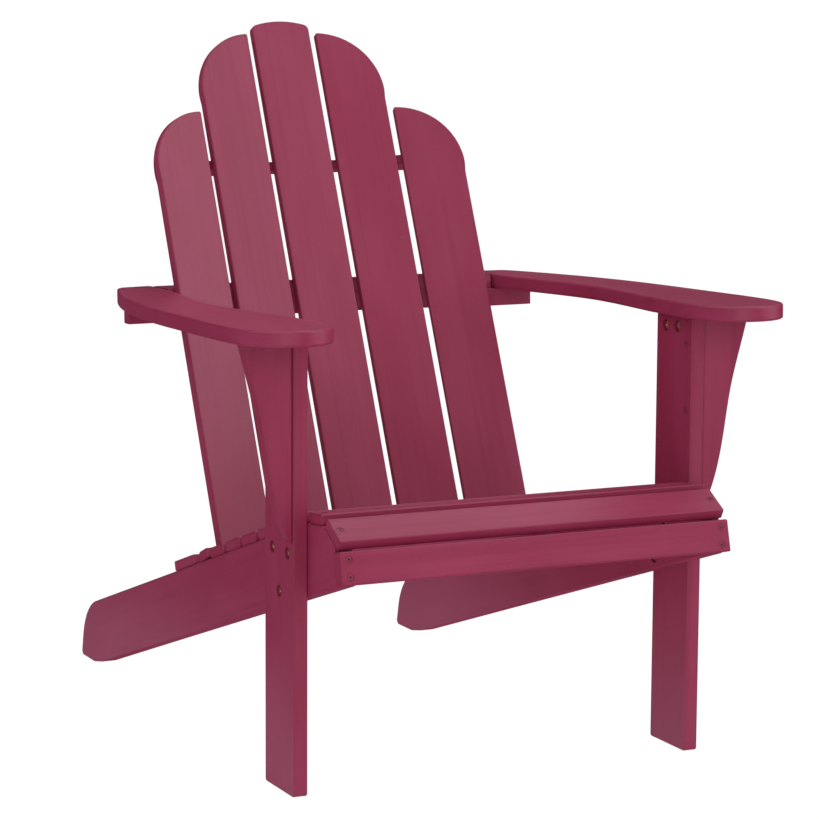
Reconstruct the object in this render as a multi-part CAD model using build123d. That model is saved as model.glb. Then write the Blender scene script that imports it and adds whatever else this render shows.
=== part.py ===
from build123d import *
import math
import os

# Adirondack garden chair: painted wooden boards, screwed and bolted together.
# Millimetres. X runs across the chair, Y from front to back, Z up.
# The layout is drawn with Y = 0 on the front faces of the legs and Z = 0 on the
# ground; every piece is moved at the end so that the origin is under the middle.

# ---------------------------------------------------------------- boards
EDGE_ROUND = 2.0          # rounding along the edges of most boards
RAIL_EDGE_ROUND = 1.5
ARM_EDGE_ROUND = 3.0
CLEAT_EDGE_ROUND = 1.0
BACK_THICK = 12.5         # back slats and upper rail
SEAT_THICK = 13.5         # seat slats

# ---------------------------------------------------------------- legs and arms
LEG_OUTER_X = 283.2       # outer face of each front leg
LEG_THICK = 19.5
LEG_WIDTH = 89.0          # front to back
LEG_CORNER = 4.0          # rounding of the legs' four corners, seen from the side
ARM_HEIGHT = 564.5        # underside of the arms at the front of the legs
ARM_FALL = 0.035          # fall of the arms towards the back, per mm
ARM_THICK = 19.3
ARM_REAR_Y = 588.0
BRACKET_FRONT_Y = 2.0
BRACKET_THICK = 20.0
BRACKET_LIP = 4.0         # straight edge where the bracket meets the arm
CLEAT_THICK = 22.0
CLEAT_FRONT_Y = 26.0
CLEAT_LENGTH = 58.0
CLEAT_HEIGHT = 30.0

# ---------------------------------------------------------------- side boards
STRINGER_OUTER_X = LEG_OUTER_X - LEG_THICK
STRINGER_THICK = 24.0
STRINGER_FALL = 0.3245    # slope of the straight top edge
STRINGER_TOP_Z = 341.0    # height of that straight edge, carried on to Y = 0
STRINGER_TOP_FRONT_Y = 3.0
SHOULDER_Y = 768.0        # where the straight top edge ends at the back
FOOT_BACK_Y = 832.0       # rearmost point of the chair

# ---------------------------------------------------------------- seat
SEAT_LENGTH = 2 * STRINGER_OUTER_X
SEAT_SLAT_WIDTH = 46.5
SEAT_SLAT_PITCH = 54.5
SEAT_SLAT_COUNT = 6       # full-width slats behind the front one
SEAT_FIRST_Y = 3.3        # lower front edge of the first full-width slat
FRONT_SLAT_WIDTH = 35.0
FRONT_SLAT_Y = -39.0      # top front edge of the narrow first slat
FRONT_SLAT_Z = 357.0
FRONT_SLAT_FALL = 5.0     # degrees
REAR_SLAT_Y = 381.0       # lower front edge of the slat behind the back
REAR_SLAT_WIDTH = 72.5
BACK_SEAT_Y = 338.0       # top front edge of the shaped slat before the back
BACK_SEAT_FALL = 22.4     # degrees
BACK_SEAT_WIDTH = 27.0    # over the stringers
BACK_SEAT_REACH = 82.0    # before it is cut to the curve of the back
BACK_SEAT_HALF = 226.0    # half the length of its wide part

# ---------------------------------------------------------------- front boards
APRON_Y = -106.3          # lower front edge
APRON_Z = 282.8
APRON_RISE = 75.3         # degrees from level
APRON_HEIGHT = 40.5
APRON_THICK = 18.0
APRON_LENGTH = 530.0
NOSE_Y = -92.0            # lower front edge
NOSE_Z = 333.0
NOSE_RISE = 29.0
NOSE_WIDTH = 44.0
NOSE_THICK = 14.0
NOSE_LENGTH = 525.0

# ---------------------------------------------------------------- back
RECLINE = 24.7            # degrees from upright
BACK_BASE_Y = 445.5       # front of the middle back slat at BACK_BASE_Z
BACK_BASE_Z = 321.0
BACK_RADIUS = 727.5       # the back is curved round the sitter
BACK_SLAT_WIDTH = 86.2
BACK_SLAT_TURN = 7.47     # degrees from one slat to the next
BACK_SLAT_BOTTOM = -125.0  # along the slats, from the base point
BACK_CLEARANCE = 0.1      # between slats and rails
MIDDLE_TOP = (646.5, 653.7, 9.0)          # sides, crown, corner rounding
INNER_TOP = (635.2, 612.6, 557.0, 3.0)    # inner side, on the curve, outer side, corner
OUTER_TOP = (515.7, 493.2, 440.0, 3.0)
TOP_CURVE_AT = 12.0       # across the slat, where the middle height is given

# ---------------------------------------------------------------- rails of the back
UPPER_RAIL_LOW = 435.5    # along the slats
UPPER_RAIL_HALF = 205.0
UPPER_RAIL_DEPTH = 31.0   # straight rear edge, behind the middle slat's face
SUPPORT_RAIL_HALF = 301.5
SUPPORT_RAIL_THICK = 25.0
SUPPORT_RAIL_FRONT_Y = 520.0
SUPPORT_RAIL_BACK_Y = 588.0
SUPPORT_RAIL_END = 18.0   # straight part of each end, before the corner is cut
SUPPORT_RAIL_CUT = 45.0
ARM_RAIL_HALF = 241.5
ARM_RAIL_FRONT_Y = 525.0
ARM_RAIL_BACK_Y = 583.0

# ---------------------------------------------------------------- fasteners
SCREW_HEAD = 8.0
SCREW_SHANK = 4.0
SCREW_CONE = 2.5
SCREW_SUNK = 0.5
SCREW_TIP = 4.0           # length of the point
SCREW_BITE = 8.5          # how far a screw from behind goes into a back slat
BOLT_HEAD = 12.0
BOLT_HEAD_HIGH = 3.0
BOLT_SHANK = 6.0
BOLT_SUNK = 1.5           # heads and nuts lie in counterbores
COUNTERBORE = 14.0
NUT_ACROSS = 10.0
NUT_HIGH = 5.0
LEG_BOLTS = [(18, 301), (65, 301), (44, 249.5)]
CLEAT_BOLTS = [(36, 549), (66, 547)]
BRACKET_SCREWS = [(12, 529), (12, 444)]
CLEAT_SCREWS = [(53, 42), (79, 42)]            # place along the cleat, length
SUPPORT_SCREWS = [(278, 531), (262, 562)]
ARM_RAIL_SCREWS = [(48, 576), (142, 576)]
APRON_SCREWS = (9.5, 31)  # up the board from its lower edge
REAR_SLAT_SCREWS = (18, 54)
FRONT_SCREW_X = STRINGER_OUTER_X - 10.5
SEAT_SCREW_X = STRINGER_OUTER_X - STRINGER_THICK / 2
BRACKET_SCREW_LONG = 42.0
APRON_SCREW_LONG = 42.0
NOSE_SCREW_LONG = 32.0
SEAT_SCREW_LONG = 26.0
END_SCREW_LONG = 35.0     # first, last and rear seat slats
ARM_SCREW_BITE = 12.0     # from the support rail up into the arms
SHORT_RAIL_BITE = 8.0

SIDES = {"left": -1, "right": 1}
BACK_PLACES = {"far_left": -2, "left": -1, "middle": 0, "right": 1, "far_right": 2}
HALF_SLAT = BACK_SLAT_WIDTH / 2
LONG = 2400.0             # longer than any part of the chair
FROM_BELOW = (Align.CENTER, Align.CENTER, Align.MIN)
FROM_ABOVE = (Align.CENTER, Align.CENTER, Align.MAX)

tilt = math.radians(RECLINE)
seat_slope = math.atan(STRINGER_FALL)
arm_slope = math.atan(ARM_FALL)


def stringer_top(y):
    """Height of the stringer's straight top edge."""
    return STRINGER_TOP_Z - STRINGER_FALL * y


def arm_underside(y):
    """Height of the arms' underside."""
    return ARM_HEIGHT - ARM_FALL * y


def rounded(solid, radius=EDGE_ROUND):
    """Round every edge of a board."""
    return fillet(solid.edges(), radius)


def side_board(wires, x_low, thickness):
    """Extrude an outline drawn in the Y-Z plane along X."""
    plane = Plane(origin=(x_low, 0, 0), x_dir=(0, 1, 0), z_dir=(1, 0, 0))
    return rounded(extrude(plane * make_face(wires), thickness))


def cross_board(y, z, fall_deg, width, thickness, length=SEAT_LENGTH):
    """A straight board across the chair, lying with its top front edge at (y, z)."""
    board = Pos(0, width / 2, -thickness / 2) * Box(length, width, thickness)
    return Pos(0, y, z) * Rot(-fall_deg, 0, 0) * rounded(board)


# ---------------------------------------------------------------- back frame
back_plane = Plane(
    origin=(0, BACK_BASE_Y, BACK_BASE_Z),
    x_dir=(1, 0, 0),
    z_dir=(0, -math.cos(tilt), math.sin(tilt)),
)


def back_point(x, along, behind):
    """A point given across, up along the slats, and behind the middle slat's face."""
    return (
        x,
        BACK_BASE_Y + along * math.sin(tilt) + behind * math.cos(tilt),
        BACK_BASE_Z + along * math.cos(tilt) - behind * math.sin(tilt),
    )


def back_cylinder(radius):
    """Everything in front of a curved surface that runs along the slats."""
    return back_plane * Pos(0, 0, BACK_RADIUS) * Rot(90, 0, 0) * Cylinder(radius, LONG)


RAIL_RADIUS = math.hypot(BACK_RADIUS + BACK_THICK, HALF_SLAT) + BACK_CLEARANCE
behind_slats = back_cylinder(RAIL_RADIUS)
before_slats = back_cylinder(BACK_RADIUS - 1.0)


def rail_depth(x):
    """How far behind the middle slat's face the rails' curved front lies."""
    return math.sqrt(RAIL_RADIUS**2 - x**2) - BACK_RADIUS


def slat_x(place):
    """Distance across the chair of a back slat's rear face."""
    return (BACK_RADIUS + BACK_THICK) * math.sin(math.radians(BACK_SLAT_TURN * place))


# ---------------------------------------------------------------- sides
def stringer_outline():
    """Outline of a stringer: sloping leg at the back, seat support at the front."""
    top_front = (STRINGER_TOP_FRONT_Y, stringer_top(STRINGER_TOP_FRONT_Y))
    top = Line((SHOULDER_Y, stringer_top(SHOULDER_Y)), top_front)
    seat = Polyline(top_front, (-4, 340.2), (-41, 343.5), (-50, 340), (-77, 325))
    front = Polyline((-77, 325), (-78.2, 317), (-88.6, 277.4))
    under = ThreePointArc((-88.6, 277.4), (392, 122.2), (750, 6))
    sole = Polyline((750, 6), (780, 0), (FOOT_BACK_Y - 5, 0))
    heel = Polyline((FOOT_BACK_Y - 5, 0), (FOOT_BACK_Y, 5), (827, 28))
    shoulder = ThreePointArc((827, 28), (808, 67), (SHOULDER_Y, stringer_top(SHOULDER_Y)))
    return top + seat + front + under + sole + heel + shoulder


def stringer(side):
    """One of the two boards that carry the seat and run down to the ground."""
    low = STRINGER_OUTER_X - STRINGER_THICK if side > 0 else -STRINGER_OUTER_X
    return side_board(stringer_outline(), low, STRINGER_THICK)


def front_leg(side):
    """A flat upright board, cut at the top to the fall of the arm."""
    back_top = (LEG_WIDTH, arm_underside(LEG_WIDTH))
    corners = [(0, 0), (LEG_WIDTH, 0), back_top, (0, ARM_HEIGHT)]
    low = STRINGER_OUTER_X if side > 0 else -LEG_OUTER_X
    return side_board(FilletPolyline(*corners, radius=LEG_CORNER, close=True), low, LEG_THICK)


def arm_bracket(side):
    """The curved bracket that holds the arm out from the leg."""
    top_z = arm_underside(BRACKET_FRONT_Y + BRACKET_THICK)
    lip = (64, top_z - BRACKET_LIP)
    edge = Spline(lip, (54, 522), (42, 474), (34.5, 428), (27.5, 386), (17.5, 348), (5, 319))
    rest = Polyline((5, 319), (0, 316), (0, top_z), (64, top_z), lip)
    plane = Plane(origin=(0, BRACKET_FRONT_Y, 0), x_dir=(1, 0, 0), z_dir=(0, -1, 0))
    board = extrude(plane * make_face(edge + rest), -BRACKET_THICK)
    board = Pos(LEG_OUTER_X, 0, 0) * board
    board = fillet(board.edges().filter_by(Axis.Y, reverse=True), EDGE_ROUND)
    return board if side > 0 else mirror(board, Plane.YZ)


def arm_cleat(side):
    """A block on the outside of the leg, behind the bracket, that the arm rests on."""
    top_z = arm_underside(CLEAT_FRONT_Y + CLEAT_LENGTH)
    x = side * (LEG_OUTER_X + CLEAT_THICK / 2)
    y = CLEAT_FRONT_Y + CLEAT_LENGTH / 2
    block = Box(CLEAT_THICK, CLEAT_LENGTH, CLEAT_HEIGHT)
    return Pos(x, y, top_z - CLEAT_HEIGHT / 2) * rounded(block, CLEAT_EDGE_ROUND)


# ---------------------------------------------------------------- arms
arm_plane = Plane(
    origin=(0, 0, ARM_HEIGHT),
    x_dir=(1, 0, 0),
    z_dir=(0, math.sin(arm_slope), math.cos(arm_slope)),
)


def arm(side):
    """A paddle-shaped board: broad and round in front, bowed out, narrow behind."""
    back = ARM_REAR_Y
    nose = Spline((249, 30), (251, -42), (272, -84), (309, -98), (349, -78), (369, -23), (371, 50))
    outer = Spline((371, 50), (365, 200), (354, 345), (330, 470), (297, back - 12))
    rear = Polyline((297, back - 12), (288, back - 1), (243, back + 6))
    inner = Spline((243, back + 6), (246, 505), (264, 385), (273, 285), (263, 165), (249, 30))
    board = extrude(arm_plane * make_face(nose + outer + rear + inner), ARM_THICK)
    board = rounded(board, ARM_EDGE_ROUND)
    return board if side > 0 else mirror(board, Plane.YZ)


# ---------------------------------------------------------------- back rails
def plan_board(points, low, thickness):
    """A level board from its outline in plan, in the plane of the arms."""
    sheet = arm_plane * Pos(0, 0, low) * make_face(Polyline(*points, close=True))
    return extrude(sheet, thickness, dir=arm_plane.z_dir)


def support_rail():
    """The long rail under the rear of the arms, hollowed to the curve of the back."""
    half = SUPPORT_RAIL_HALF
    front = SUPPORT_RAIL_FRONT_Y
    right = [
        (half, front),
        (half, front + SUPPORT_RAIL_END),
        (half - SUPPORT_RAIL_CUT, SUPPORT_RAIL_BACK_Y),
    ]
    left = [(-x, y) for x, y in reversed(right)]
    board = plan_board(right + left, -SUPPORT_RAIL_THICK, SUPPORT_RAIL_THICK)
    return rounded(board - behind_slats, RAIL_EDGE_ROUND)


def arm_rail():
    """The short rail between the arms, level with them."""
    half = ARM_RAIL_HALF
    front = [(-half, ARM_RAIL_FRONT_Y), (half, ARM_RAIL_FRONT_Y)]
    back = [(half, ARM_RAIL_BACK_Y), (-half, ARM_RAIL_BACK_Y)]
    return plan_board(front + back, 0, ARM_THICK) - behind_slats


def upper_rail():
    """The thin rail across the back, square to the slats."""
    depth = 2 * UPPER_RAIL_DEPTH
    blank = Box(2 * UPPER_RAIL_HALF, BACK_THICK, depth, align=(Align.CENTER, Align.MIN, Align.CENTER))
    board = back_plane * Pos(0, UPPER_RAIL_LOW, 0) * blank
    return rounded(board - behind_slats, RAIL_EDGE_ROUND)


# ---------------------------------------------------------------- seat
def on_stringers(y, along, up):
    """A point along and above the stringers' top edge, from the place y on it."""
    return (
        y + along * math.cos(seat_slope) + up * math.sin(seat_slope),
        stringer_top(y) - along * math.sin(seat_slope) + up * math.cos(seat_slope),
    )


def lying_slat(y, width):
    """A slat that lies on the stringers with its lower front edge at y."""
    top_y, top_z = on_stringers(y, 0, SEAT_THICK)
    return cross_board(top_y, top_z, math.degrees(seat_slope), width, SEAT_THICK)


def back_seat_top():
    """Height of the shaped slat's top front edge, with its lower edge on the stringers."""
    a = math.radians(BACK_SEAT_FALL)
    low_y = BACK_SEAT_Y + BACK_SEAT_WIDTH * math.cos(a) - SEAT_THICK * math.sin(a)
    return stringer_top(low_y) + BACK_SEAT_WIDTH * math.sin(a) + SEAT_THICK * math.cos(a)


def back_seat_slat():
    """The last seat slat, with a rear edge that follows the front of the back."""
    place = (BACK_SEAT_Y, back_seat_top(), BACK_SEAT_FALL)
    strip = cross_board(*place, BACK_SEAT_WIDTH, SEAT_THICK)
    wide = cross_board(*place, BACK_SEAT_REACH, SEAT_THICK, 2 * BACK_SEAT_HALF)
    return strip + (wide & before_slats)


# ---------------------------------------------------------------- back slats
def slat_top(kind):
    """Top outline of a back slat: side heights, the curve between, corner rounding."""
    if kind == 0:
        edge, crown, corner = MIDDLE_TOP
        curve = ThreePointArc((-HALF_SLAT, edge), (0, crown), (HALF_SLAT, edge))
        return edge, curve, edge, corner
    inner, on_curve, outer, corner = INNER_TOP if kind == 1 else OUTER_TOP
    curve = ThreePointArc((-HALF_SLAT, inner), (TOP_CURVE_AT, on_curve), (HALF_SLAT, outer))
    return inner, curve, outer, corner


def back_slat(place):
    """A back slat; place counts from the middle one, -2 to 2."""
    left_top, curve, right_top, corner = slat_top(abs(place))
    low_right = (HALF_SLAT, BACK_SLAT_BOTTOM)
    low_left = (-HALF_SLAT, BACK_SLAT_BOTTOM)
    sides = Polyline((HALF_SLAT, right_top), low_right, low_left, (-HALF_SLAT, left_top))
    board = extrude(make_face(curve + sides), -BACK_THICK)
    upright = board.edges().filter_by(Axis.Z).sort_by(Axis.Y)
    tops = upright[2:] if place == 0 else upright[-1:]
    board = rounded(fillet(tops, corner))
    if place < 0:
        board = mirror(board, Plane.YZ)
    turn = Pos(0, 0, BACK_RADIUS) * Rot(0, -BACK_SLAT_TURN * place, 0) * Pos(0, 0, -BACK_RADIUS)
    return back_plane * turn * board


# ---------------------------------------------------------------- fasteners
def facing(point, direction):
    """A place for a fastener: the board's face at the point, looking along the direction."""
    return Plane(origin=point, z_dir=direction)


def screw(length):
    """A countersunk wood screw: head just below Z = 0, pointing down."""
    profile = Polyline(
        (0, -SCREW_SUNK),
        (SCREW_HEAD / 2, -SCREW_SUNK),
        (SCREW_SHANK / 2, -SCREW_SUNK - SCREW_CONE),
        (SCREW_SHANK / 2, SCREW_TIP - length),
        (0, -length),
        close=True,
    )
    return revolve(Plane.XZ * make_face(profile), Axis.Z)


def screw_hole(length):
    """The room for a screw, open above its head."""
    mouth = Pos(0, 0, -SCREW_SUNK) * Cylinder(SCREW_HEAD / 2, 4 * SCREW_SUNK, align=FROM_BELOW)
    return screw(length) + mouth


def bolt(grip):
    """A round-headed bolt in its counterbore, with the shank through the boards."""
    head = Pos(0, 0, -BOLT_SUNK) * Cylinder(BOLT_HEAD / 2, BOLT_HEAD_HIGH, align=FROM_ABOVE)
    head = fillet(head.edges().sort_by(Axis.Z)[-1], BOLT_HEAD_HIGH / 2)
    shank = Pos(0, 0, -BOLT_SUNK) * Cylinder(BOLT_SHANK / 2, grip - 2 * BOLT_SUNK, align=FROM_ABOVE)
    return head + shank


def nut(grip):
    """A hexagon nut in a counterbore at the far end of a bolt."""
    blank = extrude(RegularPolygon(NUT_ACROSS / 2, 6, major_radius=False), NUT_HIGH)
    return Pos(0, 0, BOLT_SUNK - grip) * (blank - Cylinder(BOLT_SHANK / 2, 3 * NUT_HIGH))


def bolt_hole(grip):
    """The hole and both counterbores of a bolt."""
    hole = Cylinder(BOLT_SHANK / 2, 2 * grip)
    head_end = Pos(0, 0, 1) * Cylinder(COUNTERBORE / 2, 1 + BOLT_SUNK + BOLT_HEAD_HIGH, align=FROM_ABOVE)
    nut_end = Pos(0, 0, -grip - 1) * Cylinder(COUNTERBORE / 2, 1 + BOLT_SUNK + NUT_HIGH, align=FROM_BELOW)
    return hole + head_end + nut_end


def slope_place(y, z, rise_deg, along, x):
    """A place on the outer face of a sloping board."""
    a = math.radians(rise_deg)
    point = (x, y + along * math.cos(a), z + along * math.sin(a))
    return facing(point, (0, -math.sin(a), math.cos(a)))


# ---------------------------------------------------------------- assembly
boards = {}
fasteners = {}
holes = []


def drive(group, place, solid, hole, through):
    """Put a fastener in its group, and keep its hole for the boards it goes through."""
    fasteners.setdefault(group, []).append(place * solid)
    holes.append((place * hole, through))


def drive_screw(group, place, length, through):
    """Put in one screw."""
    drive(group, place, screw(length), screw_hole(length), through)


def drive_bolt(group, nut_group, place, grip, through):
    """Put in one bolt with its nut."""
    drive(group, place, bolt(grip), bolt_hole(grip), through)
    fasteners.setdefault(nut_group, []).append(place * nut(grip))


for side_name, side in SIDES.items():
    boards[f"stringer_{side_name}"] = stringer(side)
    boards[f"front_leg_{side_name}"] = front_leg(side)
    boards[f"arm_{side_name}"] = arm(side)
    boards[f"arm_bracket_{side_name}"] = arm_bracket(side)
    boards[f"arm_cleat_{side_name}"] = arm_cleat(side)

apron_place = (APRON_Y, APRON_Z, -APRON_RISE)
nose_place = (NOSE_Y, NOSE_Z, -NOSE_RISE)
front_place = (FRONT_SLAT_Y, FRONT_SLAT_Z, FRONT_SLAT_FALL)
boards["apron"] = cross_board(*apron_place, APRON_HEIGHT, APRON_THICK, APRON_LENGTH)
boards["nose_slat"] = cross_board(*nose_place, NOSE_WIDTH, NOSE_THICK, NOSE_LENGTH)
boards["front_seat_slat"] = cross_board(*front_place, FRONT_SLAT_WIDTH, SEAT_THICK)
seat_starts = {}
for number in range(SEAT_SLAT_COUNT):
    seat_starts[f"seat_slat_{number + 1}"] = SEAT_FIRST_Y + number * SEAT_SLAT_PITCH
for name, start in seat_starts.items():
    boards[name] = lying_slat(start, SEAT_SLAT_WIDTH)
boards["back_seat_slat"] = back_seat_slat()
boards["rear_slat"] = lying_slat(REAR_SLAT_Y, REAR_SLAT_WIDTH) - behind_slats

for name, place in BACK_PLACES.items():
    boards[f"back_slat_{name}"] = back_slat(place)
boards["upper_back_rail"] = upper_rail()
boards["arm_rail"] = arm_rail()
boards["arm_support_rail"] = support_rail()

for side_name, side in SIDES.items():
    leg = f"front_leg_{side_name}"
    stringer_name = f"stringer_{side_name}"
    bracket = f"arm_bracket_{side_name}"
    cleat = f"arm_cleat_{side_name}"
    arm_name = f"arm_{side_name}"
    for y, z in LEG_BOLTS:
        place = facing((side * LEG_OUTER_X, y, z), (side, 0, 0))
        drive_bolt("leg_bolts", "leg_nuts", place, LEG_THICK + STRINGER_THICK, [leg, stringer_name])
    for y, z in CLEAT_BOLTS:
        place = facing((side * STRINGER_OUTER_X, y, z), (-side, 0, 0))
        drive_bolt("cleat_bolts", "cleat_nuts", place, LEG_THICK + CLEAT_THICK, [leg, cleat])
    for y, z in BRACKET_SCREWS:
        place = facing((side * STRINGER_OUTER_X, y, z), (-side, 0, 0))
        drive_screw("bracket_screws", place, BRACKET_SCREW_LONG, [leg, bracket])
    for y, length in CLEAT_SCREWS:
        z = arm_underside(CLEAT_FRONT_Y + CLEAT_LENGTH) - CLEAT_HEIGHT
        place = facing((side * (LEG_OUTER_X + CLEAT_THICK / 2), y, z), (0, 0, -1))
        drive_screw("cleat_screws", place, length, [cleat, arm_name])
    under = arm_plane * Pos(0, 0, -SUPPORT_RAIL_THICK)
    for x, y in SUPPORT_SCREWS:
        place = under * Pos(side * x, y, 0) * Rot(180, 0, 0)
        long = SUPPORT_RAIL_THICK + ARM_SCREW_BITE
        drive_screw("support_rail_screws", place, long, [arm_name, "arm_support_rail"])
    for x, y in ARM_RAIL_SCREWS:
        place = under * Pos(side * x, y, 0) * Rot(180, 0, 0)
        long = SUPPORT_RAIL_THICK + SHORT_RAIL_BITE
        drive_screw("support_rail_screws", place, long, ["arm_rail", "arm_support_rail"])
    for along in APRON_SCREWS:
        place = slope_place(APRON_Y, APRON_Z, APRON_RISE, along, side * FRONT_SCREW_X)
        drive_screw("apron_screws", place, APRON_SCREW_LONG, ["apron", stringer_name])
    place = slope_place(NOSE_Y, NOSE_Z, NOSE_RISE, NOSE_WIDTH / 2, side * FRONT_SCREW_X)
    drive_screw("nose_slat_screws", place, NOSE_SCREW_LONG, ["nose_slat", stringer_name])
    x = side * SEAT_SCREW_X
    seat_fall = -math.degrees(seat_slope)
    for name, start in seat_starts.items():
        place = slope_place(*on_stringers(start, 0, SEAT_THICK), seat_fall, SEAT_SLAT_WIDTH / 2, x)
        drive_screw("seat_screws", place, SEAT_SCREW_LONG, [name, stringer_name])
    for along in REAR_SLAT_SCREWS:
        place = slope_place(*on_stringers(REAR_SLAT_Y, 0, SEAT_THICK), seat_fall, along, x)
        drive_screw("seat_screws", place, END_SCREW_LONG, ["rear_slat", stringer_name])
    place = slope_place(FRONT_SLAT_Y, FRONT_SLAT_Z, -FRONT_SLAT_FALL, FRONT_SLAT_WIDTH / 2, x)
    drive_screw("seat_screws", place, END_SCREW_LONG, ["front_seat_slat", stringer_name])
    place = slope_place(BACK_SEAT_Y, back_seat_top(), -BACK_SEAT_FALL, BACK_SEAT_WIDTH / 2, x)
    drive_screw("seat_screws", place, END_SCREW_LONG, ["back_seat_slat", stringer_name])

for name, number in BACK_PLACES.items():
    slat = f"back_slat_{name}"
    x = slat_x(number)
    behind = rail_depth(x)
    head = back_point(x, UPPER_RAIL_LOW + BACK_THICK / 2, UPPER_RAIL_DEPTH)
    place = facing(head, (0, math.cos(tilt), -math.sin(tilt)))
    long = UPPER_RAIL_DEPTH - behind + SCREW_BITE
    drive_screw("back_slat_screws", place, long, [slat, "upper_back_rail"])

    z = arm_underside(SUPPORT_RAIL_BACK_Y) - SUPPORT_RAIL_THICK / 2
    along = (z - BACK_BASE_Z + behind * math.sin(tilt)) / math.cos(tilt)
    rear_y = SUPPORT_RAIL_BACK_Y - 0.5
    long = rear_y - back_point(x, along, behind)[1] + SCREW_BITE
    place = facing((x, rear_y, z), (0, 1, 0))
    drive_screw("back_slat_screws", place, long, [slat, "arm_support_rail"])

    y, z = on_stringers(REAR_SLAT_Y, REAR_SLAT_WIDTH, SEAT_THICK / 2)
    along = (z + SEAT_THICK - BACK_BASE_Z + behind * math.sin(tilt)) / math.cos(tilt)
    long = (y - back_point(x, along, behind)[1]) / math.cos(seat_slope) + SCREW_BITE
    place = facing((x, y, z), (0, math.cos(seat_slope), -math.sin(seat_slope)))
    drive_screw("rear_slat_screws", place, long, [slat, "rear_slat"])

for hole, through in holes:
    for name in through:
        boards[name] = boards[name] - hole

boxes = [board.bounding_box() for board in boards.values()]
front_y = min(box.min.Y for box in boxes)
back_y = max(box.max.Y for box in boxes)
home = Pos(0, -(front_y + back_y) / 2, 0)

os.makedirs("parts", exist_ok=True)
for name, board in boards.items():
    export_step(home * board, f"parts/{name}.step")
for name, group in fasteners.items():
    export_step(Compound([home * one for one in group]), f"parts/{name}.step")
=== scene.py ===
"""A painted garden chair of the Adirondack kind: its paint, its fixings, and the studio it stands in.

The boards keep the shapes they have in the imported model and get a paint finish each, with the grain
of the wood running along the board. The screws, bolts and nuts are modelled here in detail. Metres
throughout: X runs across the chair, Y from front to back, Z up.
"""

from __future__ import annotations

import logging
import math
import random
from dataclasses import dataclass, field
from enum import Enum
from typing import Any, Mapping, Sequence

import bmesh
import bpy
from mathutils import Matrix, Vector

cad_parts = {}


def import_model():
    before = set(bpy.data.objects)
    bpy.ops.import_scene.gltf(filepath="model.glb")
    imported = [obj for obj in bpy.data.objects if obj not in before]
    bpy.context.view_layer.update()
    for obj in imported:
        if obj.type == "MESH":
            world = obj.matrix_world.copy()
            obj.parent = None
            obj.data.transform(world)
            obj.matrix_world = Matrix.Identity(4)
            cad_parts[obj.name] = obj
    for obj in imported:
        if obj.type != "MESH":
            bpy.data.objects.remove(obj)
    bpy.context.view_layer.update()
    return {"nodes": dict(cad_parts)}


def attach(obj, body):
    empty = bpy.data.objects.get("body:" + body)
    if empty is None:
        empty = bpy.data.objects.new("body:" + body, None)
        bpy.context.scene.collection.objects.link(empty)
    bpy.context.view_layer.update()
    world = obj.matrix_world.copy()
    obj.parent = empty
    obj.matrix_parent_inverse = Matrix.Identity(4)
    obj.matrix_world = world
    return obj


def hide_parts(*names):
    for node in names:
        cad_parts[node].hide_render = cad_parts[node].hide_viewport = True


LOG = logging.getLogger("garden_chair")
Colour = tuple[float, float, float]
MM = 0.001


def rgba(colour: Colour) -> tuple[float, float, float, float]:
    """The colour with full opacity."""
    return (*colour, 1.0)


# --------------------------------------------------------------------------- shader graphs
@dataclass(frozen=True)
class Term:
    """One output socket of a shader node, which ordinary arithmetic can use."""

    graph: "Graph"
    socket: bpy.types.NodeSocket

    def _with(self, operation: str, first: Any, second: Any = 0.0) -> "Term":
        """A Math node over two values."""
        return self.graph.node("ShaderNodeMath", {"operation": operation}, {0: first, 1: second})

    def __add__(self, other: Any) -> "Term":
        """Sum."""
        return self._with("ADD", self, other)

    __radd__ = __add__

    def __sub__(self, other: Any) -> "Term":
        """Difference."""
        return self._with("SUBTRACT", self, other)

    def __rsub__(self, other: Any) -> "Term":
        """Difference, from a plain number."""
        return self._with("SUBTRACT", other, self)

    def __mul__(self, other: Any) -> "Term":
        """Product."""
        return self._with("MULTIPLY", self, other)

    __rmul__ = __mul__

    def step(self, low: float, high: float) -> "Term":
        """Rises smoothly from 0 at low to 1 at high.

        Args:
            low: Value at which the result is 0.
            high: Value at which the result is 1.

        Returns:
            The eased value.
        """
        settings = {"interpolation_type": "SMOOTHSTEP"}
        return self.graph.node("ShaderNodeMapRange", settings, {0: self, 1: low, 2: high, 3: 0.0, 4: 1.0})


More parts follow.
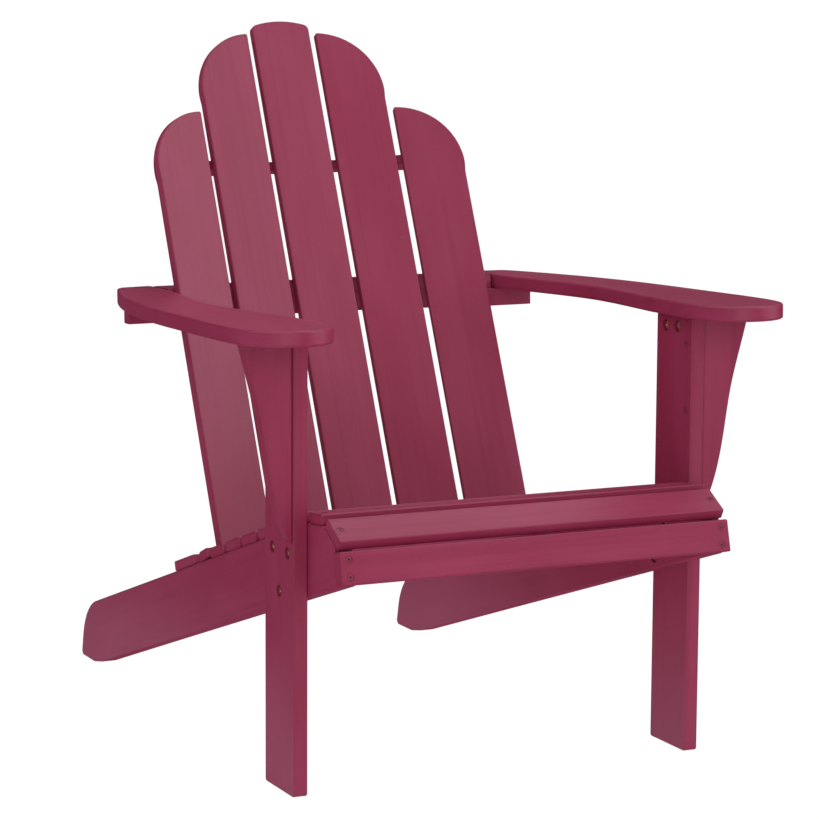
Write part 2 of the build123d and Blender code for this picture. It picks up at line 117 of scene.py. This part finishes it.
class Graph:
    """The node tree of one material, built from the surface shader backwards."""

    def __init__(self, name: str) -> None:
        """Start a material with an empty tree.

        Args:
            name: Name of the new material.
        """
        self.material = bpy.data.materials.new(name)
        self.material.use_nodes = True
        self.tree = self.material.node_tree
        self.tree.nodes.clear()

    def node(
        self, kind: str, settings: Mapping[str, Any], inputs: Mapping[Any, Any], output: int | str = 0
    ) -> Term:
        """Add a node, set it up, and feed its sockets.

        Args:
            kind: Blender's type name of the node.
            settings: Properties of the node.
            inputs: Values or terms, by the socket's name or number.
            output: Which output socket the term stands for.

        Returns:
            The chosen output.
        """
        made = self.tree.nodes.new(kind)
        for key, value in settings.items():
            setattr(made, key, value)
        for key, value in inputs.items():
            if isinstance(value, Term):
                self.tree.links.new(value.socket, made.inputs[key])
            else:
                made.inputs[key].default_value = value
        return Term(self, made.outputs[output])

    def place(self, offset: Vector, turn: Matrix) -> Term:
        """Positions on the object, turned into a board's own directions.

        Args:
            offset: Shift that makes each board a different piece of wood.
            turn: Rotation from the object's directions to the board's.

        Returns:
            The turned and shifted positions, in metres.
        """
        where = self.node("ShaderNodeTexCoord", {}, {}, "Object")
        inputs = {"Vector": where, "Location": offset, "Rotation": turn.to_euler()}
        return self.node("ShaderNodeMapping", {"vector_type": "POINT"}, inputs)

    def stretched(self, where: Term, scale: Colour) -> Term:
        """Positions multiplied along each direction."""
        return self.node("ShaderNodeVectorMath", {"operation": "MULTIPLY"}, {0: where, 1: scale})

    def noise(self, where: Term, scale: float, detail: float = 2.0, warp: float = 0.0) -> Term:
        """Smooth noise from 0 to 1.

        Args:
            where: Positions to look up.
            scale: Features per unit of position.
            detail: How many finer layers are added.
            warp: How far the pattern is pushed about by itself.

        Returns:
            The noise value.
        """
        inputs = {"Vector": where, "Scale": scale, "Detail": detail, "Distortion": warp}
        return self.node("ShaderNodeTexNoise", {}, inputs, "Fac")

    def mix(self, factor: Any, first: Any, second: Any) -> Term:
        """A blend of two colours.

        Args:
            factor: Share of the second colour.
            first: Colour at 0.
            second: Colour at 1.

        Returns:
            The blended colour.
        """
        settings = {"data_type": "RGBA", "blend_type": "MIX"}
        return self.node("ShaderNodeMix", settings, {0: factor, 6: first, 7: second}, 2)

    def bump(self, height: Term, depth: float, under: Term | None = None) -> Term:
        """A normal that follows a height.

        Args:
            height: Height from 0 to 1.
            depth: What a height of 1 stands for, in metres.
            under: A normal to start from.

        Returns:
            The changed normal.
        """
        inputs: dict[Any, Any] = {"Height": height, "Distance": depth, "Strength": 1.0}
        if under is not None:
            inputs["Normal"] = under
        return self.node("ShaderNodeBump", {}, inputs)

    def surface(self, fixed: Mapping[str, Any], varied: Mapping[str, Term]) -> bpy.types.Material:
        """Finish the material with the main shader.

        Args:
            fixed: Numbers and colours that are the same all over the surface.
            varied: Terms for the sockets that change over the surface.

        Returns:
            The finished material.
        """
        shader = self.node("ShaderNodeBsdfPrincipled", {}, {**fixed, **varied})
        end = self.tree.nodes.new("ShaderNodeOutputMaterial")
        self.tree.links.new(shader.socket, end.inputs["Surface"])
        return self.material


# --------------------------------------------------------------------------- finishes
class Grain(Enum):
    """Which way the wood grain runs in a board."""

    ACROSS = "across the chair"
    BACKWARD = "from front to back"
    UPRIGHT = "up and down"
    DOWNHILL = "down along the sloping side boards"
    RECLINED = "up along the reclined back"


@dataclass(frozen=True)
class Paint:
    """Semi-gloss raspberry paint over planed wood, with the grain telegraphing through, painted shade on
    the rounded edges and a painted floor reflection low on the side faces.

    Scales are features per metre, along the grain first where there are three. Shares say how
    strongly each tone is laid over the ones before it.
    """

    slot: str = "painted_wood"
    body: Colour = (0.285, 0.024, 0.073)
    faded: Colour = (0.330, 0.040, 0.102)
    deep: Colour = (0.200, 0.013, 0.044)
    # Painted shade laid over the rounded edges of the boards.
    painted_edge_shade: Colour = (0.170, 0.008, 0.030)
    # Tint of the random specks, and also of the painted floor reflection low on the side faces.
    dust_and_floor_sheen: Colour = (0.42, 0.13, 0.21)
    streak_scale: Colour = (2.2, 120.0, 120.0)
    pore_scale: Colour = (28.0, 1500.0, 1500.0)
    cloud_scale: Colour = (5.0, 14.0, 14.0)
    skin_scale: float = 900.0
    knock_scale: float = 55.0
    speck_scale: float = 420.0
    faded_share: float = 0.55
    streak_share: float = 0.28
    pore_share: float = 0.22
    speck_share: float = 0.55
    edge_share: float = 0.85
    # Share and height of the painted floor reflection on the side faces.
    floor_sheen_share: float = 0.42
    floor_sheen_height: float = 0.24
    edge_radius: float = 0.0045
    grain_depth: float = 0.00014
    skin_depth: float = 0.00006
    roughness: float = 0.29
    index: float = 1.5
    gloss: float = 0.38

    def edges(self, graph: Graph, plain: Term) -> Term:
        """Where the paint runs over a board's rounded edge.

        Args:
            graph: The material's graph.
            plain: The surface's own normal.

        Returns:
            1 on the edges and 0 on the flats.
        """
        softened = graph.node("ShaderNodeBevel", {"samples": 6}, {"Radius": self.edge_radius})
        both = {0: softened, 1: plain}
        agree = graph.node("ShaderNodeVectorMath", {"operation": "DOT_PRODUCT"}, both, "Value")
        return (1.0 - agree).step(0.002, 0.10)

    def painted_floor_sheen(self, graph: Graph, plain: Term) -> Term:
        """Where the floor's reflection is painted onto the side faces, low down, as a lighter pink.

        Args:
            graph: The material's graph.
            plain: The surface's own normal.

        Returns:
            1 at the ground on faces that look sideways, 0 higher up and on other faces.
        """
        where = graph.node("ShaderNodeTexCoord", {}, {}, "Object")
        level = graph.node("ShaderNodeSeparateXYZ", {}, {0: where}, 2)
        sideways = graph.node("ShaderNodeSeparateXYZ", {}, {0: plain}, 0)
        return (1.0 - level.step(0.0, self.floor_sheen_height)) * (sideways * sideways)

    def material(self, name: str, turn: Matrix, seed: int) -> bpy.types.Material:
        """Paint for one board.

        Args:
            name: Name of the material.
            turn: Rotation whose first direction is the grain's.
            seed: Picks the piece of wood under the paint.

        Returns:
            The material.
        """
        draw = random.Random(seed)
        graph = Graph(name)
        offset = Vector([draw.uniform(-5.0, 5.0) for _ in range(3)])
        where = graph.place(offset, turn)
        streaks = graph.noise(graph.stretched(where, self.streak_scale), 1.0, 3.0, 0.6)
        pores = graph.noise(graph.stretched(where, self.pore_scale), 1.0, 2.0, 0.3)
        clouds = graph.noise(graph.stretched(where, self.cloud_scale), 1.0, 2.0)
        skin = graph.noise(where, self.skin_scale, 1.0)
        knocks = graph.noise(where, self.knock_scale, 1.0).step(0.70, 0.80)
        specks = graph.noise(where, self.speck_scale, 1.0).step(0.74, 0.80)
        plain = graph.node("ShaderNodeNewGeometry", {}, {}, "Normal")
        edge = self.edges(graph, plain)

        colour: Any = rgba(self.body)
        for amount, tone in (
            (clouds.step(0.35, 0.70) * self.faded_share, self.faded),
            (streaks.step(0.48, 0.72) * self.streak_share, self.deep),
            (pores.step(0.60, 0.72) * self.pore_share, self.deep),
            (specks * self.speck_share, self.dust_and_floor_sheen),
            # Painted shade: the rounded edges are darkened.
            (edge * self.edge_share, self.painted_edge_shade),
            # Painted reflection: faces that look sideways are made lighter and pinker near the floor.
            (self.painted_floor_sheen(graph, plain) * self.floor_sheen_share, self.dust_and_floor_sheen),
        ):
            colour = graph.mix(amount, colour, rgba(tone))

        height = streaks * 0.55 + pores * 0.45 - knocks * 0.5
        normal = graph.bump(skin, self.skin_depth, graph.bump(height, self.grain_depth))
        rough = clouds * 0.10 + pores * 0.12 + edge * 0.06 + self.roughness
        fixed = {"IOR": self.index, "Specular IOR Level": self.gloss}
        varied = {"Base Color": colour, "Roughness": rough, "Normal": normal}
        return graph.surface(fixed, varied)


@dataclass(frozen=True)
class Metal:
    """Plated or painted steel of a fixing, dulled and spotted with age."""

    slot: str
    bright: Colour
    dull: Colour
    roughness: float
    metallic: float
    spot_scale: float = 700.0
    film_scale: float = 160.0
    pitting_scale: float = 2600.0
    pitting_depth: float = 0.00003
    index: float = 1.5

    def material(self, name: str) -> bpy.types.Material:
        """The plated metal.

        Args:
            name: Name of the material.

        Returns:
            The material.
        """
        graph = Graph(name)
        where = graph.node("ShaderNodeTexCoord", {}, {}, "Object")
        spots = graph.noise(where, self.spot_scale, 3.0, 0.4)
        film = graph.noise(where, self.film_scale, 2.0)
        pitting = graph.noise(where, self.pitting_scale, 1.0)
        varied = {
            "Base Color": graph.mix(spots.step(0.45, 0.68), rgba(self.bright), rgba(self.dull)),
            "Roughness": film * 0.25 + self.roughness,
            "Metallic": self.metallic - spots * 0.1,
            "Normal": graph.bump(pitting, self.pitting_depth),
        }
        return graph.surface({"IOR": self.index}, varied)


# --------------------------------------------------------------------------- fixings
@dataclass(frozen=True)
class Spot:
    """Where a fixing sits: the middle of its head, and the way it is driven."""

    head: Vector
    drive: Vector

    def matrix(self, spin: float) -> Matrix:
        """A placement with Z out of the wood, turned about Z.

        Args:
            spin: Turn about the fixing's own axis, in radians.

        Returns:
            The placement.
        """
        out = (-self.drive).to_track_quat("Z", "Y").to_matrix().to_4x4()
        return Matrix.Translation(self.head) @ out @ Matrix.Rotation(spin, 4, "Z")


def solids(node: bpy.types.Object) -> list[list[Vector]]:
    """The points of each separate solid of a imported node.

    Args:
        node: The node's object.

    Returns:
        One list of points for each solid.
    """
    mesh = bmesh.new()
    mesh.from_mesh(node.data)
    bmesh.ops.remove_doubles(mesh, verts=mesh.verts, dist=0.00001)
    waiting = set(mesh.verts)
    found = []
    for start in list(mesh.verts):
        if start not in waiting:
            continue
        waiting.discard(start)
        group = [start]
        for vertex in group:
            for edge in vertex.link_edges:
                other = edge.other_vert(vertex)
                if other in waiting:
                    waiting.discard(other)
                    group.append(other)
        found.append([vertex.co.copy() for vertex in group])
    mesh.free()
    return found


def spot_of(points: Sequence[Vector]) -> Spot:
    """Find the head and the axis of a long fixing from its points.

    Args:
        points: Points of one screw or bolt.

    Returns:
        Its place.
    """
    middle = sum(points, Vector()) / len(points)
    far = max(points, key=lambda p: (p - middle).length)
    other = max(points, key=lambda p: (p - far).length)
    axis = (far - other).normalized()
    for _ in range(12):
        along = sum(((p - middle).dot(axis) * (p - middle) for p in points), Vector())
        axis = along.normalized()
    reach = [(p - middle).dot(axis) for p in points]
    wide = [((p - middle) - (p - middle).dot(axis) * axis).length for p in points]
    if reach[wide.index(max(wide))] > 0:
        axis = -axis
        reach = [-value for value in reach]
    low = min(reach)
    ring = [p for p, r in zip(points, reach) if r < low + 0.0004]
    corner = Vector([min(p[i] for p in ring) for i in range(3)])
    opposite = Vector([max(p[i] for p in ring) for i in range(3)])
    return Spot((corner + opposite) / 2, axis)


class Lathe:
    """A small mesh workshop for round, hexagonal and threaded fixings."""

    def __init__(self) -> None:
        """Start with an empty mesh."""
        self.mesh = bmesh.new()

    def ring(self, radius: float, z: float, count: int, turn: float = 0.0) -> list[bmesh.types.BMVert]:
        """A circle of points.

        Args:
            radius: Its radius.
            z: Its height.
            count: How many points.
            turn: Angle of the first point.

        Returns:
            The points in order.
        """
        made = []
        for step in range(count):
            angle = turn + 2 * math.pi * step / count
            made.append(self.mesh.verts.new((radius * math.cos(angle), radius * math.sin(angle), z)))
        return made

    def loft(self, low: Sequence[bmesh.types.BMVert], high: Sequence[bmesh.types.BMVert]) -> None:
        """Join two rings of the same count, facing outward when the second is higher."""
        count = len(low)
        for i in range(count):
            j = (i + 1) % count
            self.mesh.faces.new((low[i], low[j], high[j], high[i]))

    def turned(self, profile: Sequence[tuple[float, float]], count: int) -> list[list[bmesh.types.BMVert]]:
        """Rings for a profile, joined from the first to the last.

        Args:
            profile: Pairs of radius and height.
            count: Points in each ring.

        Returns:
            The rings.
        """
        rings = [self.ring(radius, z, count) for radius, z in profile]
        for low, high in zip(rings, rings[1:]):
            self.loft(low, high)
        return rings

    def cap(self, ring: Sequence[bmesh.types.BMVert], z: float, up: bool) -> None:
        """Close a ring with a fan to a point on the axis.

        Args:
            ring: The ring.
            z: Height of the point.
            up: Whether the cap faces up.
        """
        tip = self.mesh.verts.new((0.0, 0.0, z))
        count = len(ring)
        for i in range(count):
            j = (i + 1) % count
            corners = (ring[i], ring[j], tip) if up else (ring[j], ring[i], tip)
            self.mesh.faces.new(corners)

    def recess(
        self,
        rim: Sequence[bmesh.types.BMVert],
        outline: Sequence[tuple[float, float]],
        z: float,
        depth: float,
    ) -> None:
        """A flat top with a driver's recess sunk in it.

        Args:
            rim: Outer ring of the flat top.
            outline: Outline of the recess, in order.
            z: Height of the flat top.
            depth: Depth of the recess.
        """
        mouth = [self.mesh.verts.new((x, y, z)) for x, y in outline]
        count = len(mouth)
        edges = [self.mesh.edges.new((mouth[i], mouth[(i + 1) % count])) for i in range(count)]
        around = [self.mesh.edges.get((rim[i], rim[(i + 1) % len(rim)])) for i in range(len(rim))]
        bmesh.ops.triangle_fill(self.mesh, edges=edges + around, use_beauty=True, normal=(0.0, 0.0, 1.0))
        floor = [self.mesh.verts.new((0.62 * x, 0.62 * y, z - depth)) for x, y in outline]
        self.loft(floor, mouth[:])
        self.cap(floor, z - 1.25 * depth, True)

    def thread(self, radius: float, low: float, high: float, pitch: float, deep: float) -> None:
        """A screw thread with a real helix, closed at the lower end.

        Args:
            radius: Outer radius.
            low: Lower end.
            high: Upper end.
            pitch: Height of one turn.
            deep: Depth of the thread.
        """
        around = 20
        rows = max(2, round((high - low) / pitch * 6))
        rings = []
        for row in range(rows + 1):
            z = low + (high - low) * row / rows
            ring = []
            for step in range(around):
                phase = (z / pitch - step / around) % 1.0
                cut = deep * abs(2.0 * phase - 1.0)
                ends = min(1.0, (z - low) / pitch)
                size = radius - cut - (1.0 - ends) * deep
                angle = 2 * math.pi * step / around
                ring.append(self.mesh.verts.new((size * math.cos(angle), size * math.sin(angle), z)))
            rings.append(ring)
        for lower, upper in zip(rings, rings[1:]):
            self.loft(lower, upper)
        self.cap(rings[0], low, False)
        self.cap(rings[-1], high, True)

    def stamp(self, into: bmesh.types.BMesh, matrix: Matrix) -> None:
        """Copy this mesh into another one.

        Args:
            into: The mesh that receives it.
            matrix: Where it goes.
        """
        pattern = bpy.data.meshes.new("pattern")
        self.mesh.to_mesh(pattern)
        pattern.transform(matrix)
        into.from_mesh(pattern)
        bpy.data.meshes.remove(pattern)


def cross_outline(reach: float, half: float) -> list[tuple[float, float]]:
    """Outline of a cross-shaped driver recess.

    Args:
        reach: How far each arm goes from the middle.
        half: Half of an arm's width.

    Returns:
        Points in order, anticlockwise.
    """
    points = []
    for quarter in range(4):
        angle = quarter * math.pi / 2
        c, s = math.cos(angle), math.sin(angle)
        for x, y in ((half, -half), (reach, -0.7 * half), (reach, 0.7 * half)):
            points.append((c * x - s * y, s * x + c * y))
    return points


def hexagon(radius: float, turn: float = 0.0) -> list[tuple[float, float]]:
    """Corners of a hexagon, in order."""
    steps = [turn + math.pi * k / 3 for k in range(6)]
    return [(radius * math.cos(a), radius * math.sin(a)) for a in steps]


@dataclass(frozen=True)
class Screw:
    """A countersunk wood screw with a cross recess, painted over with the boards."""

    head: float = 3.9 * MM
    shank: float = 1.9 * MM
    rim: float = 0.35 * MM
    cone: float = 2.2 * MM
    recess_reach: float = 2.2 * MM
    recess_half: float = 0.48 * MM
    recess_depth: float = 1.5 * MM
    chamfer: float = 0.15 * MM
    land: float = 0.1 * MM
    point: float = 4.0 * MM
    pitch: float = 1.8 * MM
    thread_depth: float = 0.35 * MM
    count: int = 24

    def pattern(self, length: float) -> Lathe:
        """A screw with its head's top at zero, pointing down.

        Args:
            length: From the head to the point.

        Returns:
            The screw's mesh.
        """
        made = Lathe()
        neck = -self.rim - self.cone
        top = self.head - self.chamfer
        profile = [(self.shank, neck), (self.head, -self.rim), (self.head, -self.land), (top, 0.0)]
        rings = made.turned(profile, self.count)
        made.cap(rings[0], neck, False)
        cross = cross_outline(self.recess_reach, self.recess_half)
        made.recess(rings[-1], cross, 0.0, self.recess_depth)
        made.thread(self.shank, self.point - length, neck, self.pitch, self.thread_depth)
        return made


@dataclass(frozen=True)
class Bolt:
    """A low round-headed bolt with a hexagon socket and a machine thread."""

    head: float = 5.9 * MM
    high: float = 3.0 * MM
    shank: float = 2.95 * MM
    socket: float = 2.1 * MM
    socket_depth: float = 1.8 * MM
    wall: float = 0.55
    crown_steps: int = 5
    pitch: float = 1.0 * MM
    thread_depth: float = 0.3 * MM
    count: int = 36

    def pattern(self, length: float) -> Lathe:
        """A bolt with the top of its head at zero, pointing down.

        Args:
            length: From the head's top to the end.

        Returns:
            The bolt's mesh.
        """
        made = Lathe()
        shoulder = self.wall * self.high
        profile = [(self.shank, -self.high), (self.head, -self.high), (self.head, -shoulder)]
        for step in range(1, self.crown_steps + 1):
            angle = step / self.crown_steps * math.pi / 2
            reach = self.head - 0.9 * self.high * (1.0 - math.cos(angle))
            profile.append((reach, -shoulder * (1.0 - math.sin(angle))))
        rings = made.turned(profile, self.count)
        made.cap(rings[0], -self.high, False)
        made.recess(rings[-1], hexagon(self.socket), 0.0, self.socket_depth)
        made.thread(self.shank, -length, -self.high, self.pitch, self.thread_depth)
        return made


@dataclass(frozen=True)
class Nut:
    """A hexagon nut with chamfered corners."""

    across: float = 9.9 * MM
    high: float = 5.0 * MM
    bore: float = 2.6 * MM
    slope: float = 0.5
    count: int = 48

    def pattern(self) -> Lathe:
        """A nut standing on Z = 0.

        Returns:
            The nut's mesh.
        """
        made = Lathe()
        flat = self.across / 2
        circle = 0.94 * flat
        rings = [made.ring(self.bore, 0.0, self.count)]
        for low in (True, False):
            ring = []
            for step in range(self.count):
                angle = 2 * math.pi * step / self.count
                turned = (angle + math.pi / 6) % (math.pi / 3) - math.pi / 6
                reach = flat / math.cos(turned)
                fall = self.slope * (reach - circle)
                z = fall if low else self.high - fall
                ring.append(made.mesh.verts.new((reach * math.cos(angle), reach * math.sin(angle), z)))
            level = made.ring(circle, 0.0 if low else self.high, self.count)
            rings += [level, ring] if low else [ring, level]
        rings.append(made.ring(self.bore + 0.4 * MM, self.high, self.count))
        rings.append(made.ring(self.bore, self.high - 0.4 * MM, self.count))
        for lower, upper in zip(rings, rings[1:] + rings[:1]):
            made.loft(lower, upper)
        return made


class Fixings:
    """Every screw, bolt and nut of the chair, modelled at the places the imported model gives."""

    def __init__(self, nodes: Mapping[str, bpy.types.Object]) -> None:
        """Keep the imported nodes.

        Args:
            nodes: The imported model's objects by name.
        """
        self.nodes = nodes
        self.bolt_metal = Metal("bolt_metal", (0.78, 0.46, 0.32), (0.26, 0.12, 0.09), 0.26, 0.95)
        self.screw_paint = Metal("screw_metal", (0.30, 0.045, 0.09), (0.16, 0.018, 0.04), 0.30, 0.25)
        self.screw = Screw()
        self.bolt = Bolt()
        self.nut = Nut()
        self.draw = random.Random(11)

    def _place(self, name: str, node: str, mesh: bmesh.types.BMesh, finish: Metal) -> bpy.types.Object:
        """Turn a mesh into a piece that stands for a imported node.

        Args:
            name: Name of the piece.
            node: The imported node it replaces.
            mesh: Its geometry.
            finish: Its metal.

        Returns:
            The piece.
        """
        data = bpy.data.meshes.new(name)
        mesh.to_mesh(data)
        mesh.free()
        for face in data.polygons:
            face.use_smooth = True
        piece = bpy.data.objects.new(name, data)
        bpy.context.scene.collection.objects.link(piece)
        data.materials.append(finish.material(f"metal_of_{name}"))
        data.set_sharp_from_angle(angle=math.radians(35))
        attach(piece, "root")
        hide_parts(node)
        LOG.info("fixings %s: %d faces", name, len(data.polygons))
        return piece

    def screws(self, node: str) -> bpy.types.Object:
        """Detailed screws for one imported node.

        Args:
            node: The node's name.

        Returns:
            The piece.
        """
        mesh = bmesh.new()
        for points in solids(self.nodes[node]):
            spot = spot_of(points)
            length = max((p - spot.head).dot(spot.drive) for p in points)
            spin = self.draw.uniform(0.0, math.pi / 2)
            self.screw.pattern(length).stamp(mesh, spot.matrix(spin))
        return self._place(node + "_detailed", node, mesh, self.screw_paint)

    def bolts(self, node: str, nut_node: str) -> list[bpy.types.Object]:
        """Detailed bolts and their nuts.

        Args:
            node: The bolts' node.
            nut_node: The nuts' node.

        Returns:
            Both pieces.
        """
        mesh = bmesh.new()
        nut_mesh = bmesh.new()
        nuts = [sum(points, Vector()) / len(points) for points in solids(self.nodes[nut_node])]
        for points in solids(self.nodes[node]):
            spot = spot_of(points)
            length = max((p - spot.head).dot(spot.drive) for p in points)
            self.bolt.pattern(length).stamp(mesh, spot.matrix(self.draw.uniform(0.0, 1.0)))
            reach = [at - spot.head for at in nuts]
            nearest = min(reach, key=lambda way: way.cross(spot.drive).length + way.length)
            along = nearest.dot(spot.drive)
            seat = Spot(spot.head + (along - self.nut.high / 2) * spot.drive, -spot.drive)
            self.nut.pattern().stamp(nut_mesh, seat.matrix(self.draw.uniform(0.0, 1.0)))
        pieces = [self._place(node + "_detailed", node, mesh, self.bolt_metal)]
        pieces.append(self._place(nut_node + "_detailed", nut_node, nut_mesh, self.bolt_metal))
        return pieces


# --------------------------------------------------------------------------- boards
@dataclass
class Boards:
    """A group of boards that share a grain direction and a coat of paint."""

    name: str
    members: Sequence[str]
    grain: Grain
    paint: Paint = field(default_factory=Paint)
    side_fall: float = 18.5
    recline: float = 24.7
    arm_fall: float = 2.0

    def direction(self) -> tuple[Vector, Vector]:
        """The grain's direction and the way the boards' broad faces look."""
        fall = math.radians(self.side_fall)
        lean = math.radians(self.recline)
        arm = math.radians(self.arm_fall)
        return {
            Grain.ACROSS: (Vector((1, 0, 0)), Vector((0, math.sin(fall), math.cos(fall)))),
            Grain.BACKWARD: (Vector((0, math.cos(arm), -math.sin(arm))), Vector((0, 0, 1))),
            Grain.UPRIGHT: (Vector((0, 0, 1)), Vector((1, 0, 0))),
            Grain.DOWNHILL: (Vector((0, math.cos(fall), -math.sin(fall))), Vector((1, 0, 0))),
            Grain.RECLINED: (Vector((0, math.sin(lean), math.cos(lean))), Vector((0, -1, 0.46))),
        }[self.grain]

    def turn(self) -> Matrix:
        """Rotation from the chair's directions to the board's: along the grain, across it, and out."""
        along, out = self.direction()
        across = out.cross(along).normalized()
        out = along.cross(across)
        return Matrix((along, across, out))

    def dress(self, nodes: Mapping[str, bpy.types.Object]) -> None:
        """Paint every board of the group.

        Args:
            nodes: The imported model's objects by name.
        """
        for member in self.members:
            seed = sum(ord(letter) * (place + 1) for place, letter in enumerate(member))
            board = nodes[member]
            board.data.materials[0] = self.paint.material(f"paint_on_{member}", self.turn(), seed)
            LOG.info("board %s: %s", member, self.grain.value)


# --------------------------------------------------------------------------- studio
# Each lamp's name, azimuth and elevation in degrees, strength, and whether the paint's gloss shows it.
LAMPS = (
    ("front_lamp", -25.0, 15.0, 0.95, True),
    ("right_lamp", 65.0, 12.0, 0.85, True),
    ("upper_right_lamp", 55.0, 45.0, 0.85, True),
    ("left_lamp", -70.0, 45.0, 0.30, True),
    ("back_left_lamp", -115.0, 45.0, 0.60, True),
    ("back_lamp", 155.0, 45.0, 0.55, False),
    ("rim_lamp", 135.0, 52.0, 0.50, True),
    ("top_lamp", 0.0, 85.0, 0.70, True),
)


def toward(azimuth: float, elevation: float) -> Vector:
    """The direction from the chair to something that stands round it.

    Args:
        azimuth: Angle round the chair from straight in front, in degrees.
        elevation: Angle above the floor, in degrees.

    Returns:
        A direction of length 1.
    """
    a, e = math.radians(azimuth), math.radians(elevation)
    return Vector((math.sin(a) * math.cos(e), -math.cos(a) * math.cos(e), math.sin(e)))


@dataclass
class Studio:
    """Plain pale floor, soft lamps, and the camera. Angles are in degrees, sizes in metres."""

    azimuth: float = -25.07
    elevation: float = 8.83
    roll: float = 0.33
    distance: float = 3.915
    target: Colour = (-0.1295, -0.36298, 0.4703)
    lens: float = 141.43
    sensor: float = 36.0
    floor_size: float = 120.0
    spread: float = 50.0
    room: float = 0.02

    def camera(self) -> bpy.types.Object:
        """The camera, looking at the chair from its front left corner.

        Returns:
            The camera object.
        """
        a, r = math.radians(self.azimuth), math.radians(self.roll)
        back = toward(self.azimuth, self.elevation)
        level = Vector((math.cos(a), math.sin(a), 0.0))
        above = back.cross(level)
        right = level * math.cos(r) + above * math.sin(r)
        up = above * math.cos(r) - level * math.sin(r)
        data = bpy.data.cameras.new("camera")
        data.lens = self.lens
        data.sensor_width = self.sensor
        camera = bpy.data.objects.new("camera", data)
        bpy.context.scene.collection.objects.link(camera)
        spin = Matrix((right, up, back)).transposed().to_4x4()
        camera.matrix_world = Matrix.Translation(Vector(self.target) + back * self.distance) @ spin
        bpy.context.scene.camera = camera
        return camera

    def lamp(self, name: str, azimuth: float, elevation: float, power: float) -> bpy.types.Object:
        """A broad, even light from far away.

        Args:
            name: Its name.
            azimuth: Where it stands round the chair, in degrees from straight in front.
            elevation: How high it stands, in degrees.
            power: Its strength.

        Returns:
            The lamp.
        """
        place = toward(azimuth, elevation)
        data = bpy.data.lights.new(name, "SUN")
        data.energy = power
        data.angle = math.radians(self.spread)
        lamp = bpy.data.objects.new(name, data)
        lamp.location = place * self.distance
        lamp.rotation_euler = (-place).to_track_quat("-Z", "Y").to_euler()
        bpy.context.scene.collection.objects.link(lamp)
        return lamp

    def lights(self) -> None:
        """Soft light from in front, both sides, behind and above."""
        for name, azimuth, elevation, power, gloss in LAMPS:
            self.lamp(name, azimuth, elevation, power).visible_glossy = gloss
        world = bpy.data.worlds.new("white_room")
        bpy.context.scene.world = world
        world.use_nodes = True
        background = world.node_tree.nodes["Background"]
        background.inputs["Color"].default_value = (1.0, 1.0, 1.0, 1.0)
        background.inputs["Strength"].default_value = self.room

    def floor(self) -> None:
        """A plain pale floor that gives off its own white light, so that no shadow darkens it."""
        half = self.floor_size / 2
        data = bpy.data.meshes.new("floor")
        corners = [(-half, -half, 0.0), (half, -half, 0.0), (half, half, 0.0), (-half, half, 0.0)]
        data.from_pydata(corners, [], [(0, 1, 2, 3)])
        floor = bpy.data.objects.new("floor", data)
        bpy.context.scene.collection.objects.link(floor)
        graph = Graph("pale_floor")
        where = graph.node("ShaderNodeTexCoord", {}, {}, "Object")
        rough = graph.noise(where, 3.0, 1.0) * 0.1 + 0.8
        white = {"Base Color": (0.02, 0.02, 0.02, 1.0), "Emission Color": (1.0, 1.0, 1.0, 1.0)}
        fixed = {**white, "Emission Strength": 1.0, "Specular IOR Level": 0.0}
        data.materials.append(graph.surface(fixed, {"Roughness": rough}))
        floor.visible_glossy = False

    def build(self) -> None:
        """Put up the whole studio."""
        self.camera()
        self.lights()
        self.floor()
        bpy.context.scene.view_settings.view_transform = "Standard"
        LOG.info("studio: camera, eight lamps and a floor")


SIDE_NAMES = ("left", "right")
BACK_NAMES = ("far_left", "left", "middle", "right", "far_right")


def groups() -> list[Boards]:
    """Every group of boards in the chair."""
    seat = [f"seat_slat_{n}" for n in range(1, 7)]
    seat += ["front_seat_slat", "back_seat_slat", "rear_slat", "nose_slat", "apron"]
    rails = ["upper_back_rail", "arm_rail", "arm_support_rail"]
    uprights = [f"front_leg_{s}" for s in SIDE_NAMES] + [f"arm_bracket_{s}" for s in SIDE_NAMES]
    level = [f"arm_{s}" for s in SIDE_NAMES] + [f"arm_cleat_{s}" for s in SIDE_NAMES]
    return [
        Boards("seat", seat, Grain.ACROSS),
        Boards("rails", rails, Grain.ACROSS),
        Boards("uprights", uprights, Grain.UPRIGHT),
        Boards("arms", level, Grain.BACKWARD),
        Boards("side boards", [f"stringer_{s}" for s in SIDE_NAMES], Grain.DOWNHILL),
        Boards("back", [f"back_slat_{n}" for n in BACK_NAMES], Grain.RECLINED),
    ]


def main() -> None:
    """Build the chair's looks in order."""
    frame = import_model()
    nodes = frame["nodes"]
    Studio().build()
    for group in groups():
        group.dress(nodes)
    fixings = Fixings(nodes)
    fixings.bolts("leg_bolts", "leg_nuts")
    fixings.bolts("cleat_bolts", "cleat_nuts")
    for node in sorted(name for name in nodes if name.endswith("_screws")):
        fixings.screws(node)


if __name__ == "__main__":
    logging.basicConfig(level=logging.INFO, format="%(name)s: %(message)s")
    main()
